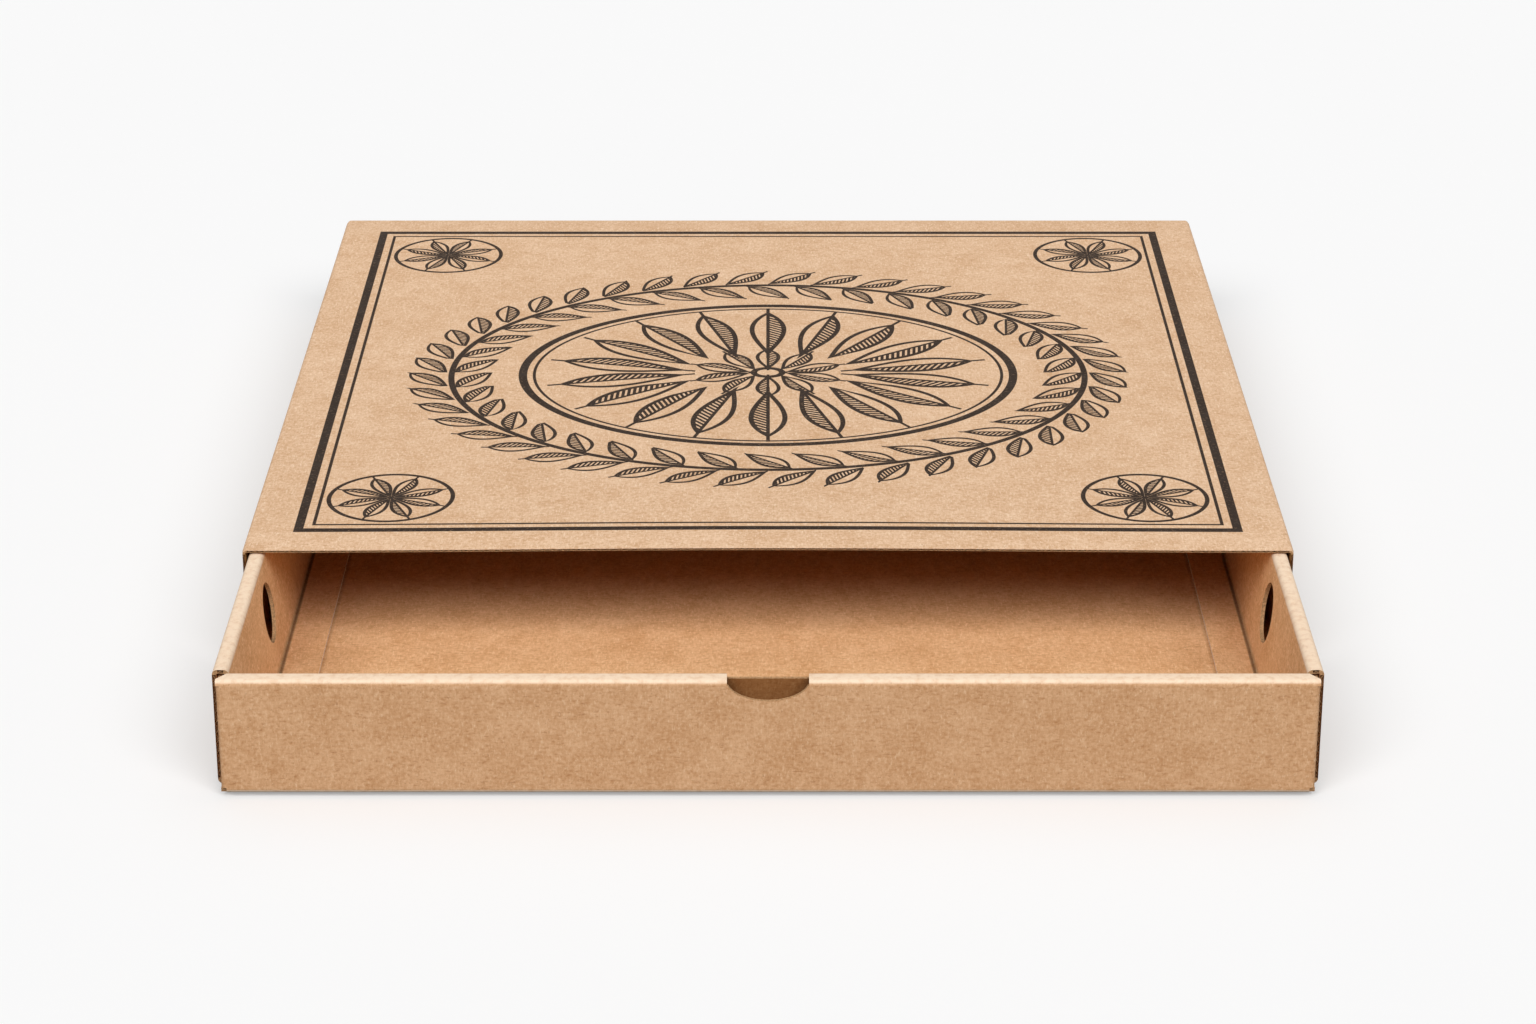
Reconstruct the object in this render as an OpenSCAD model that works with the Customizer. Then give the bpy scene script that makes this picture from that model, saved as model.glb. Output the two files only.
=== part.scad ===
// Sliding pizza box: a folded tray of corrugated board that slides in an open-ended sleeve.
// Sizes are in millimetres. The sleeve lies on z = 0 and its mouth faces -Y.

/* [Board] */

// Thickness of the corrugated board
board_t = 1.2; // [0.8:0.1:1.6]
// Inside radius of a fold
crease_r = 0.4; // [0.2:0.1:0.6]

/* [Sleeve] */

// Outer width of the sleeve
sleeve_w = 330; // [250:1:450]
// Length of the sleeve from its mouth to its back opening
sleeve_l = 330; // [250:1:450]
// Outer height of the sleeve
sleeve_h = 40; // [34:0.5:60]
// Height of the glue lap inside the left wall
lap_h = 29; // [15:1:30]
// Thickness of the glue lap, which is crushed flat
lap_t = 0.5; // [0.3:0.1:0.8]
// Slope cut off each end of the glue lap
lap_taper = 10; // [4:1:20]
// Open seam between the left wall's cut edge and the fold of the lap
seam = 0.5; // [0.3:0.1:1]

/* [Tray] */

// How far the tray stands out of the sleeve
pull_out = 93; // [0:1:240]
// Free play between the tray and the sleeve
slide_gap = 0.3; // [0.2:0.1:0.8]
// Width of the band along the top of each side wall
side_band = 5; // [4.6:0.1:7]
// Lean of the inner side walls, in degrees
wall_lean = 8; // [2:0.5:12]
// Width of the strips glued to the tray's floor
strip_w = 12; // [6:1:30]
// Width of the band along the top of the front and back walls
end_band = 6.6; // [5:0.1:9]
// How much lower the front and back walls are than the side walls
end_drop = 0.4; // [0.2:0.1:3]
// Mitre at each end of the front and back bands, inside the corner flaps
band_mitre = 1.4; // [0.5:0.1:4]
// Length of the corner flaps held inside the side walls
flap_l = 46; // [20:1:60]

/* [Cut-outs] */

// Width of the thumb notch
notch_w = 24; // [16:1:40]
// Depth of the thumb notch in the front panel
notch_d = 6.5; // [4:0.5:10]
// Diameter of the hole in each side wall
hole_d = 19; // [10:1:20]
// Distance of the holes behind the tray's front face
hole_back = 84; // [75:1:160]
// Height of the holes' centre above the tray's underside
hole_up = 21; // [15:0.5:21]

/* [Model] */

// Sub-part to draw

/* [Hidden] */

$fn = 96;

// Room that a fold takes up along a panel
fold = board_t + crease_r;
// Depth that a glued or cut face is carried past its neighbour
bite = board_t / 12;
// Length of a cut that starts outside the object
past = 4 * board_t;
// Gap between a cut edge and the panel that it stops at
butt_gap = board_t / 4;

tray_w = sleeve_w - 2 * (board_t + lap_t + slide_gap);
tray_l = sleeve_l;
tray_h = sleeve_h - 2 * (board_t + slide_gap);
end_h = tray_h - end_drop;
half_w = tray_w / 2;

// The side walls run between the front and back walls
side_start = end_band + butt_gap;
side_l = tray_l - 2 * side_start;

// Fold from the band to the inner side wall, and back to the strip on the floor
side_turn = 90 - wall_lean;
inner_rise = tray_h - fold + (2 * crease_r + board_t) * sin(wall_lean) - (2 * board_t + crease_r) + bite;
inner_flat = inner_rise / cos(wall_lean);

// The corner flaps stand off the outer side walls by half a board
flap_face = half_w - 1.5 * board_t;
end_half = flap_face - fold;
flap_flat = min(flap_l, hole_back - hole_d / 2 - side_start);
flap_low = fold + butt_gap;
flap_h = end_h - fold - butt_gap - flap_low;
band_foot = flap_face - board_t - band_mitre;

kraft = [0.80, 0.63, 0.45];
kraft_print = [0.84, 0.70, 0.53];

// Carries on from the far end of a fold
module past_crease(turn) {
    centre = turn > 0 ? fold : -crease_r;
    translate([0, centre])
        rotate(turn)
            translate([0, -centre])
                children();
}

// Section of one fold: turns the board to its upper side, or to its lower side if the angle is negative
module crease(turn) {
    centre = turn > 0 ? fold : -crease_r;
    start = turn > 0 ? -90 : 90 + turn;
    sweep = abs(turn);
    reach = 2 * fold;
    wedge = [
        [0, 0],
        [reach, 0],
        [reach, reach * tan(sweep / 2)],
        [reach * cos(sweep), reach * sin(sweep)]
    ];
    translate([0, centre])
        rotate(start)
            intersection() {
                difference() {
                    circle(r = fold);
                    circle(r = crease_r);
                }
                polygon(wedge);
            }
}

// Section of a run of board: each step is a flat panel and the fold that follows it
module board_section(steps, i = 0) {
    if (i < len(steps)) {
        flat = steps[i][0];
        turn = steps[i][1];
        if (flat > 0) {
            square([flat, board_t]);
        }
        translate([flat, 0]) {
            if (turn != 0) {
                crease(turn);
            }
            past_crease(turn) {
                board_section(steps, i + 1);
            }
        }
    }
}

// A run that starts along +X with its upper side to +Z, drawn out from y0 to y0 + width
module upright_run(steps, y0, width) {
    translate([0, y0 + width, 0])
        rotate([90, 0, 0])
            linear_extrude(width)
                board_section(steps);
}

module glue_lap() {
    outline = [
        [0, 0],
        [sleeve_l, 0],
        [sleeve_l - lap_taper, lap_h],
        [lap_taper, lap_h]
    ];
    translate([-sleeve_w / 2 + board_t, -sleeve_l / 2, board_t])
        rotate([90, 0, 90])
            linear_extrude(lap_t)
                polygon(outline);
}

module sleeve_tube() {
    across = sleeve_w - 2 * fold;
    up = sleeve_h - 2 * fold;
    translate([-across / 2, 0, 0])
        upright_run([[across, 90], [up, 90], [across, 90], [up, 90]], -sleeve_l / 2, sleeve_l);
}

module sleeve_seam() {
    translate([-sleeve_w / 2 - past, -sleeve_l / 2 - past, fold])
        cube([past + board_t, sleeve_l + 2 * past, seam]);
}

module sleeve() {
    color(kraft_print) {
        difference() {
            sleeve_tube();
            sleeve_seam();
        }
        glue_lap();
    }
}

module tray_floor() {
    translate([-half_w + fold, fold, 0])
        cube([tray_w - 2 * fold, tray_l - 2 * fold, board_t]);
}

// Outer wall, band, leaning inner wall and the strip glued to the floor, all one run of board
module side_wall() {
    steps = [
        [0, 90],
        [tray_h - 2 * fold, 90],
        [side_band - 2 * fold, side_turn],
        [inner_flat, -side_turn],
        [strip_w, 0]
    ];
    translate([half_w - fold, 0, 0])
        upright_run(steps, side_start, side_l);
}

// Outer panel, band and inner panel of the front or back wall
// The band reaches over the corner flaps, and its ends are mitred
module end_roll() {
    steps = [
        [0, 90],
        [end_h - 2 * fold, 90],
        [end_band - 2 * fold, 90],
        [end_h - fold - board_t - butt_gap, 0]
    ];
    difference() {
        translate([0, fold, 0])
            rotate([0, 0, -90])
                upright_run(steps, -flap_face, 2 * flap_face);
        band_end_cut();
        mirror([1, 0, 0])
            band_end_cut();
    }
}

module band_end_cut() {
    outline = [
        [flap_face, fold],
        [flap_face + past, fold],
        [flap_face + past, end_band + past],
        [band_foot, end_band + past],
        [band_foot, end_band - fold]
    ];
    translate([0, 0, board_t + bite])
        linear_extrude(end_h)
            polygon(outline);
    translate([end_half, -past, -past])
        cube([past, end_band + 2 * past, past + end_h - fold]);
}

// Flap folded back from an end of the front or back panel into the hollow side wall
module corner_flap() {
    translate([end_half, 0, flap_low])
        linear_extrude(flap_h)
            board_section([[0, 90], [flap_flat, 0]]);
}

module end_wall() {
    end_roll();
    corner_flap();
    mirror([1, 0, 0])
        corner_flap();
}

// Thumb notch: a half oval in the front panel, cut on through the band down to the inner panel
module thumb_notch() {
    translate([0, end_band - board_t, end_h])
        rotate([90, 0, 0])
            linear_extrude(end_band + past)
                scale([1, 2 * notch_d / notch_w])
                    circle(d = notch_w);
    translate([-notch_w / 2, -past, end_h - fold])
        cube([notch_w, end_band + 2 * past, fold + past]);
}

module side_holes() {
    translate([-half_w - past, hole_back, hole_up])
        rotate([0, 90, 0])
            cylinder(d = hole_d, h = tray_w + 2 * past);
}

module tray() {
    color(kraft)
        translate([0, -sleeve_l / 2 - pull_out, board_t + slide_gap])
            difference() {
                union() {
                    tray_floor();
                    side_wall();
                    mirror([1, 0, 0])
                        side_wall();
                    end_wall();
                    translate([0, tray_l, 0])
                        mirror([0, 1, 0])
                            end_wall();
                }
                thumb_notch();
                side_holes();
            }
}

sleeve();
tray();
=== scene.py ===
"""Looks of a sliding pizza box: a folded board tray that is drawn out of an open-ended sleeve."""

import math

import bmesh
import bpy
from bpy.props import FloatProperty, FloatVectorProperty, IntProperty, PointerProperty
from bpy.types import Operator, Panel, PropertyGroup
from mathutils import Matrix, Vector


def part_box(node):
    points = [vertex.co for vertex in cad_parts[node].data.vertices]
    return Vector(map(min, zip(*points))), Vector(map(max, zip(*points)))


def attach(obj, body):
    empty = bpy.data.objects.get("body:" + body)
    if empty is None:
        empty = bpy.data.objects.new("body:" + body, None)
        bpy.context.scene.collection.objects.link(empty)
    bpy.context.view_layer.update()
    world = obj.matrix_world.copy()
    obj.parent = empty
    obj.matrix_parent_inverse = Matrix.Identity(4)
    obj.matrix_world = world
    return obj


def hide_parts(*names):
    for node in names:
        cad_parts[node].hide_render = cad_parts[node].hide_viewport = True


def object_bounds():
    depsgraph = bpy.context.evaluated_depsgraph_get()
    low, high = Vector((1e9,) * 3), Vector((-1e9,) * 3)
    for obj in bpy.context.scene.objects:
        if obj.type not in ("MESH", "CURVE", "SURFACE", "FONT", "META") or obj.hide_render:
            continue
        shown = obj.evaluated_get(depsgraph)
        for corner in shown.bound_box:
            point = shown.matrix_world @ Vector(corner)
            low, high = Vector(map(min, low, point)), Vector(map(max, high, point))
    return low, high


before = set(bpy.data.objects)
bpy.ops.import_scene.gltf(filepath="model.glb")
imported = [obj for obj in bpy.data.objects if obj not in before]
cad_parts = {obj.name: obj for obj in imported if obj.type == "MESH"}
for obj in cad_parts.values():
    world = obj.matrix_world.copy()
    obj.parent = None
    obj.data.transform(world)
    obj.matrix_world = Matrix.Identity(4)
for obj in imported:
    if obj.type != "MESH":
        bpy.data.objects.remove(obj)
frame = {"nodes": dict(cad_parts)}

bl_info = {
    "name": "Sliding pizza box",
    "version": (1, 0, 0),
    "blender": (4, 5, 0),
    "location": "View3D > Sidebar > Pizza Box",
    "description": "Builds a sliding pizza box of folded corrugated board and its studio stage",
    "category": "Object",
}

CAD_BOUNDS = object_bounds()

# Lengths in metres below which two places count as one
SAME_PLACE = 2e-5
TINY = 1e-6

QUARTER = math.radians(90)
SMOOTH_ANGLE = math.radians(32)
# Least part of a normal that lies along an axis for a face to face that way
FACING = 0.9

# Most pieces into which one pass divides an edge
MOST_CUTS = 64
# Limits for the longest side of a flute's cell in half waves, and its least height as a share of the edge
CELL_FROM, CELL_TO = 0.6, 1.7
CELL_HEIGHT = 0.8

# How far a cutting shape stands past what it cuts, and how finely it is rounded
CUT_MARGIN = 0.01
HOLE_SIDES = 64
NOTCH_SIDES = 96

# Material slots that the thickness of a sheet gives to its faces
INSIDE, CUT_EDGE, OUTSIDE = 0, 1, 2
# Painted light and shade: the sleeve's inside paper is darkened, the tray's inside and inner side walls are
# paler, and the inside of the tray's front and back walls is dark
SLEEVE_SLOTS = ("Sleeve Inside Painted Shade", "Cut Edge", "Sleeve Paper", "Sleeve Print")
TRAY_SLOTS = ("Tray Inside Painted Light", "Cut Edge", "Tray Paper", "Hollow Painted Shade", "Strip Edge", "Tray Lining Painted Light")

# The print is drawn in millimetres, with a soft edge to its lines
MILLIMETRES = 1000.0
INK_EDGE = 0.1

FLOOR_SIZE = 12.0
SENSOR_WIDTH = 36.0
FAR_CLIP = 50.0


def length(name, description, default):
    """A length property in metres."""
    return FloatProperty(name=name, description=description, default=default, unit="LENGTH", precision=5)


def angle(name, description, degrees):
    """An angle property, written in degrees."""
    return FloatProperty(name=name, description=description, default=math.radians(degrees), subtype="ANGLE")


def paint(name, description, default):
    """A colour property, as linear values."""
    return FloatVectorProperty(name=name, description=description, default=default, subtype="COLOR")


def number(name, description, default):
    """A plain number, such as a lamp's strength."""
    return FloatProperty(name=name, description=description, default=default)


class BoardSettings(PropertyGroup):
    """The corrugated board that both pieces are folded from."""

    thickness: length("Thickness", "Thickness of the board", 0.0012)
    crease: length("Fold radius", "Inside radius of a fold", 0.0004)
    fold_steps: IntProperty(name="Fold steps", description="Flat steps in a quarter fold", default=6)
    flute: length("Flute pitch", "Length of one wave of the fluted layer", 0.0032)
    liner: length("Liner", "Width of board left around a flute on a cut edge", 0.00012)
    flute_depth: length("Flute depth", "How deep a flute is open on a cut edge", 0.0012)


class SleeveSettings(PropertyGroup):
    """The sleeve that lies on the table."""

    seam: length("Seam", "Open seam over the fold of the glue lap", 0.0005)
    lap_height: length("Lap height", "Height of the glue lap", 0.029)
    lap_thickness: length("Lap thickness", "Thickness of the crushed glue lap", 0.0005)
    lap_taper: length("Lap taper", "Slope cut off each end of the lap", 0.010)
    press: length("Press", "Distance over which the board's cut ends are pressed thin", 0.0022)
    pressed: length("Pressed thickness", "Thickness of the board at its pressed ends", 0.00065)
    crown: length("Crown", "How far the middle of the top panel stands up at the mouth", 0.0009)
    crown_reach: length("Crown reach", "Distance over which the crown dies out", 0.155)
    rows: IntProperty(name="Rows", description="Rows of faces along the top panel", default=12)


class TraySettings(PropertyGroup):
    """The tray that slides in the sleeve."""

    side_band: length("Side band", "Width of the band on a side wall", 0.005)
    end_band: length("End band", "Width of the band on the front and back walls", 0.0066)
    end_drop: length("End drop", "How much lower the front and back walls are", 0.0004)
    lean: angle("Lean", "Lean of the inner side walls", 8)
    strip: length("Strip", "Width of the strips glued to the floor", 0.012)
    mitre: length("Mitre", "Mitre at the ends of the front and back bands, inside the flaps", 0.0014)
    flap: length("Flap", "Length of a corner flap", 0.046)
    butt: length("Butt gap", "Gap where a cut edge meets a panel", 0.0003)
    notch_width: length("Notch width", "Width of the thumb notch", 0.024)
    notch_depth: length("Notch depth", "Depth of the thumb notch", 0.0065)
    hole: length("Hole", "Diameter of the side holes", 0.019)
    hole_back: length("Hole back", "Distance of the holes behind the front face", 0.084)
    hole_up: length("Hole up", "Height of the holes above the underside", 0.021)


class PrintSettings(PropertyGroup):
    """The design printed on the sleeve's top, measured from the middle of the panel."""

    frame: length("Frame", "Half width of the outer frame", 0.149)
    inner_frame: length("Inner frame", "Half width of the inner frame", 0.1445)
    corner: length("Corner", "Distance of a corner rosette from the middle, each way", 0.122)
    corner_ring: length("Corner ring", "Radius of the ring round a corner rosette", 0.020)
    shift: length("Shift", "How far the wreath lies towards the mouth", 0.006)
    wreath_x: length("Wreath X", "Radius of the wreath's stem across the box", 0.111)
    wreath_y: length("Wreath Y", "Radius of the wreath's stem along the box", 0.093)
    leaf_off: length("Leaf offset", "Distance of the wreath's leaves from its stem", 0.008)
    ring_x: length("Ring X", "Radius of the rosette's ring across the box", 0.086)
    ring_y: length("Ring Y", "Radius of the rosette's ring along the box", 0.070)


class FinishSettings(PropertyGroup):
    """Colours of paper and ink, and of painted light and shade, as linear values."""

    sleeve: paint("Sleeve", "Colour of the sleeve's paper", (0.74, 0.505, 0.325))
    tray: paint("Tray", "Colour of the tray's paper", (0.665, 0.392, 0.211))
    # Painted shade: the sleeve's inside is darker than its outside, to deepen the shade under the sleeve
    sleeve_inside_painted_shade: paint("Sleeve inside", "Colour of the paper inside the sleeve", (0.42, 0.235, 0.085))
    # Painted light: a paler copy of the tray's paper, for the light on the tray's floor and inner side
    # walls
    tray_inside_painted_light: paint("Tray inside", "Colour of the paper inside the tray", (0.815, 0.49, 0.254))
    edge: paint("Cut edge", "Colour of a cut edge", (0.48, 0.275, 0.135))
    # Pale fold colour: partly scuffing, partly painted highlight and reflection; the strips' cut edges take
    # it too
    fold: paint("Fold", "Colour of a fold rubbed pale", (0.97, 0.78, 0.59))
    # Painted shade: a dark paper inside the front and back walls, for the shade seen through the thumb
    # notch
    hollow_painted_shade: paint("Hollow", "Colour of the paper inside the front and back walls", (0.28, 0.12, 0.04))
    # Painted shade: the dark line in the crease at the foot of the inner walls, and the soft shadow beside
    # the floor strips
    painted_shade: paint("PaintedShade", "Colour of the dark line at the foot of the inner walls", (0.05, 0.02, 0.006))
    speck: paint("Speck", "Colour of the specks in the paper", (0.30, 0.13, 0.05))
    ink: paint("Ink", "Colour of the print", (0.026, 0.015, 0.009))


class StageSettings(PropertyGroup):
    """The studio: floor, lamps and camera."""

    lens: FloatProperty(name="Lens", description="Focal length", default=90.6, unit="CAMERA")
    pitch: angle("Pitch", "Angle at which the camera looks down", 22.53)
    distance: length("Distance", "Distance of the camera in front of the tray", 1.021)
    height: length("Height", "Height of the camera over the floor", 0.515)
    floor: paint("Floor", "Colour of the floor", (0.95, 0.95, 0.95))
    glow: number("Glow", "Share of the floor's brightness that is its own", 0.35)
    bounce: paint("Bounce", "Colour of the light that the floor throws back", (0.25, 0.25, 0.25))
    backdrop: paint("Backdrop", "Colour of the background", (0.955, 0.953, 0.955))
    sky: number("Sky", "Strength of the even light", 0.20)
    key: number("Key", "Strength of each soft light from the front", 1.55)
    key_height: angle("Key height", "Angle of the soft light over the floor", 42)
    key_turn: angle("Key turn", "Angle of each soft light to the side", 32)
    key_spread: angle("Key spread", "Angle that a soft light fills", 34)
    back: number("Back", "Strength of the soft light from above and behind", 0.5)
    back_height: angle("Back height", "Angle of the back light over the floor", 62)
    back_spread: angle("Back spread", "Angle that the back light fills", 60)


class PizzaBoxSettings(PropertyGroup):
    """All settings of the model."""

    board: PointerProperty(type=BoardSettings)
    sleeve: PointerProperty(type=SleeveSettings)
    tray: PointerProperty(type=TraySettings)
    design: PointerProperty(type=PrintSettings)
    finish: PointerProperty(type=FinishSettings)
    stage: PointerProperty(type=StageSettings)


def start_plane(name, slots, low, high, z):
    """Adds a plane between two corners at height z, with its materials, and leaves it in edit mode."""
    bpy.ops.object.select_all(action="DESELECT")
    bpy.ops.mesh.primitive_plane_add(size=1.0, location=(0, 0, 0))
    obj = bpy.context.object
    obj.name = name
    for slot in slots:
        obj.data.materials.append(bpy.data.materials[slot])
    bpy.ops.object.mode_set(mode="EDIT")
    bpy.ops.mesh.select_mode(type="EDGE")
    bpy.ops.mesh.select_all(action="SELECT")
    bpy.ops.transform.resize(value=(high[0] - low[0], high[1] - low[1], 1.0), center_override=(0, 0, 0))
    bpy.ops.transform.translate(value=((low[0] + high[0]) / 2, (low[1] + high[1]) / 2, z))
    return obj


def pick(obj, test, kind="EDGE"):
    """Selects only the edges or faces for which test is true."""
    bpy.ops.mesh.select_mode(type=kind)
    bpy.ops.mesh.select_all(action="DESELECT")
    mesh = bmesh.from_edit_mesh(obj.data)
    chosen = [item for item in (mesh.edges if kind == "EDGE" else mesh.faces) if test(item)]
    if not chosen:
        raise RuntimeError(f"nothing to select on {obj.name}")
    for item in chosen:
        item.select_set(True)
    mesh.select_flush_mode()
    bmesh.update_edit_mesh(obj.data)


def middle(item):
    """Centre of an edge or a face."""
    return sum((v.co for v in item.verts), Vector()) / len(item.verts)


def near(a, b, room=SAME_PLACE):
    """Whether two numbers are the same within some room."""
    return abs(a - b) < room


def span_y(edge):
    """How far an edge runs along the box."""
    return abs(edge.verts[0].co.y - edge.verts[1].co.y)


def cut_across(co, normal):
    """Cuts the whole mesh in edit mode along a plane, keeping both sides."""
    bpy.ops.mesh.select_all(action="SELECT")
    bpy.ops.mesh.bisect(plane_co=co, plane_no=normal)


def widen(share):
    """Scales the selected edges across the box."""
    bpy.ops.transform.resize(value=(share, 1, 1), center_override=(0, 0, 0))


class Folder:
    """Folds the selected edges of a sheet: keeps the place and heading of its middle surface."""

    def __init__(self, board, out, place, up=(0, 0, 1)):
        self.radius = board.crease + board.thickness / 2
        self.steps = board.fold_steps
        self.out = Vector(out)
        self.up = Vector(up)
        self.place = Vector(place)
        self.heading = 0.0

    def along(self):
        """Direction in which the sheet goes on."""
        return self.out * math.cos(self.heading) + self.up * math.sin(self.heading)

    def normal(self):
        """Direction of the sheet's upper side."""
        return self.up * math.cos(self.heading) - self.out * math.sin(self.heading)

    def flat(self, span):
        """Carries the sheet on by a flat panel."""
        move = self.along() * span
        bpy.ops.mesh.extrude_region_move(TRANSFORM_OT_translate={"value": move})
        self.place = self.place + move

    def turn(self, by):
        """Folds the sheet to its upper side, or to its lower side if the angle is negative."""
        reach = self.radius if by > 0 else -self.radius
        centre = self.place + self.normal() * reach
        steps = max(2, round(self.steps * abs(by) / QUARTER))
        bpy.ops.mesh.spin(steps=steps, angle=by, center=centre, axis=self.up.cross(self.out))
        self.heading += by
        self.place = centre - self.normal() * reach

    def run(self, steps):
        """Carries the sheet on by flat panels, each with the fold that follows it."""
        for span, by in steps:
            if span:
                self.flat(span)
            if by:
                self.turn(by)


def apply_modifier(obj, kind, name, **values):
    """Adds a modifier, sets it and applies it."""
    bpy.context.view_layer.objects.active = obj
    obj.modifiers.new(name, kind)
    for key, value in values.items():
        setattr(obj.modifiers[name], key, value)
    bpy.ops.object.modifier_apply(modifier=name)


def keep_full(obj, at_end):
    """Groups the points that keep the board's full thickness and returns the group's name."""
    bpy.ops.mesh.select_mode(type="VERT")
    bpy.ops.mesh.select_all(action="DESELECT")
    for vert in bmesh.from_edit_mesh(obj.data).verts:
        vert.select_set(not at_end(vert.co))
    bmesh.update_edit_mesh(obj.data)
    bpy.ops.object.vertex_group_add()
    bpy.ops.object.vertex_group_assign()
    return obj.vertex_groups[0].name


def thicken(obj, board, pressed=None):
    """Gives a folded sheet its thickness, and its cut edges and outside their own materials."""
    values = {}
    if pressed:
        at_end, thin = pressed
        values["vertex_group"] = keep_full(obj, at_end)
        values["thickness_vertex_group"] = thin / board.thickness
    bpy.ops.object.mode_set(mode="OBJECT")
    apply_modifier(
        obj, "SOLIDIFY", "Board", thickness=board.thickness, offset=0.0, use_even_offset=True,
        use_rim=True, material_offset=OUTSIDE, material_offset_rim=CUT_EDGE, **values,
    )


def outward(obj):
    """Makes all normals point out of the board and rounds the folds' shading."""
    bpy.ops.object.mode_set(mode="EDIT")
    bpy.ops.mesh.select_all(action="SELECT")
    bpy.ops.mesh.normals_make_consistent(inside=False)
    bpy.ops.object.mode_set(mode="OBJECT")
    bpy.ops.object.select_all(action="DESELECT")
    obj.select_set(True)
    bpy.context.view_layer.objects.active = obj
    bpy.ops.object.shade_smooth_by_angle(angle=SMOOTH_ANGLE)


def divide_ends(obj, board, test):
    """Divides long cut edges across the flutes into half waves."""
    half_wave = board.flute / 2

    def spans(low, high):
        return lambda e: test(e) and low <= e.calc_length() / half_wave < high

    def any_edge(chosen):
        return any(chosen(e) for e in bmesh.from_edit_mesh(obj.data).edges)

    too_long = spans(MOST_CUTS, math.inf)
    while any_edge(too_long):
        pick(obj, too_long)
        bpy.ops.mesh.subdivide(number_cuts=1)
    for count in range(3, MOST_CUTS + 1):
        fits = spans(count - 0.5, count + 0.5)
        if any_edge(fits):
            pick(obj, fits)
            bpy.ops.mesh.subdivide(number_cuts=count - 1)


def open_flutes(obj, board, test, tall):
    """Sinks the flutes, a zigzag between the two liners, into the cut edges that run across them."""
    bpy.ops.object.mode_set(mode="EDIT")
    half_wave = board.flute / 2

    def is_cell(face):
        spans = sorted(e.calc_length() for e in face.edges)
        return (
            face.material_index == CUT_EDGE and len(spans) == 4 and test(face)
            and half_wave * CELL_FROM < spans[-1] < half_wave * CELL_TO
            and spans[0] > tall * CELL_HEIGHT
        )

    def is_odd(face):
        return round((middle(face).x + middle(face).z) / half_wave) % 2 == 1

    def is_half(face):
        return face.material_index == CUT_EDGE and len(face.verts) == 3 and test(face)

    def parts_halves(edge):
        upright = near(edge.calc_length(), tall, tall / 10)
        return upright and len(edge.link_faces) == 2 and all(is_half(f) for f in edge.link_faces)

    pick(obj, lambda f: is_cell(f) and is_odd(f), "FACE")
    bpy.ops.mesh.quads_convert_to_tris(quad_method="FIXED")
    pick(obj, is_cell, "FACE")
    bpy.ops.mesh.quads_convert_to_tris(quad_method="FIXED_ALTERNATE")
    pick(obj, parts_halves)
    bpy.ops.mesh.dissolve_edges(use_verts=False)
    pick(obj, lambda f: is_half(f) or is_cell(f), "FACE")
    bpy.ops.mesh.inset(thickness=board.liner, depth=-board.flute_depth, use_individual=True)
    bpy.ops.object.mode_set(mode="OBJECT")


def cut_out(obj, name):
    """Cuts the shape that was just added out of a piece, and removes that shape."""
    cutter = bpy.context.object
    cutter.name = name
    cutter.data.materials.append(bpy.data.materials["Cut Edge"])
    bpy.ops.object.transform_apply(location=True, rotation=True, scale=True)
    values = {"operation": "DIFFERENCE", "solver": "EXACT", "material_mode": "TRANSFER"}
    apply_modifier(obj, "BOOLEAN", "Cut", object=cutter, **values)
    bpy.data.objects.remove(cutter)


def dress(obj, material, test):
    """Gives a material to the faces for which test is true, in edit mode."""
    pick(obj, test, "FACE")
    obj.active_material_index = obj.data.materials.find(material)
    bpy.ops.object.material_slot_assign()


def hand_over(obj, body, node):
    """Ties a finished piece to its CAD body, and hides the CAD node's part that it stands in for."""
    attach(obj, body)
    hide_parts(node)


def opaque(colour):
    """A colour with full alpha."""
    return tuple(colour)[:3] + (1.0,)


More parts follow.
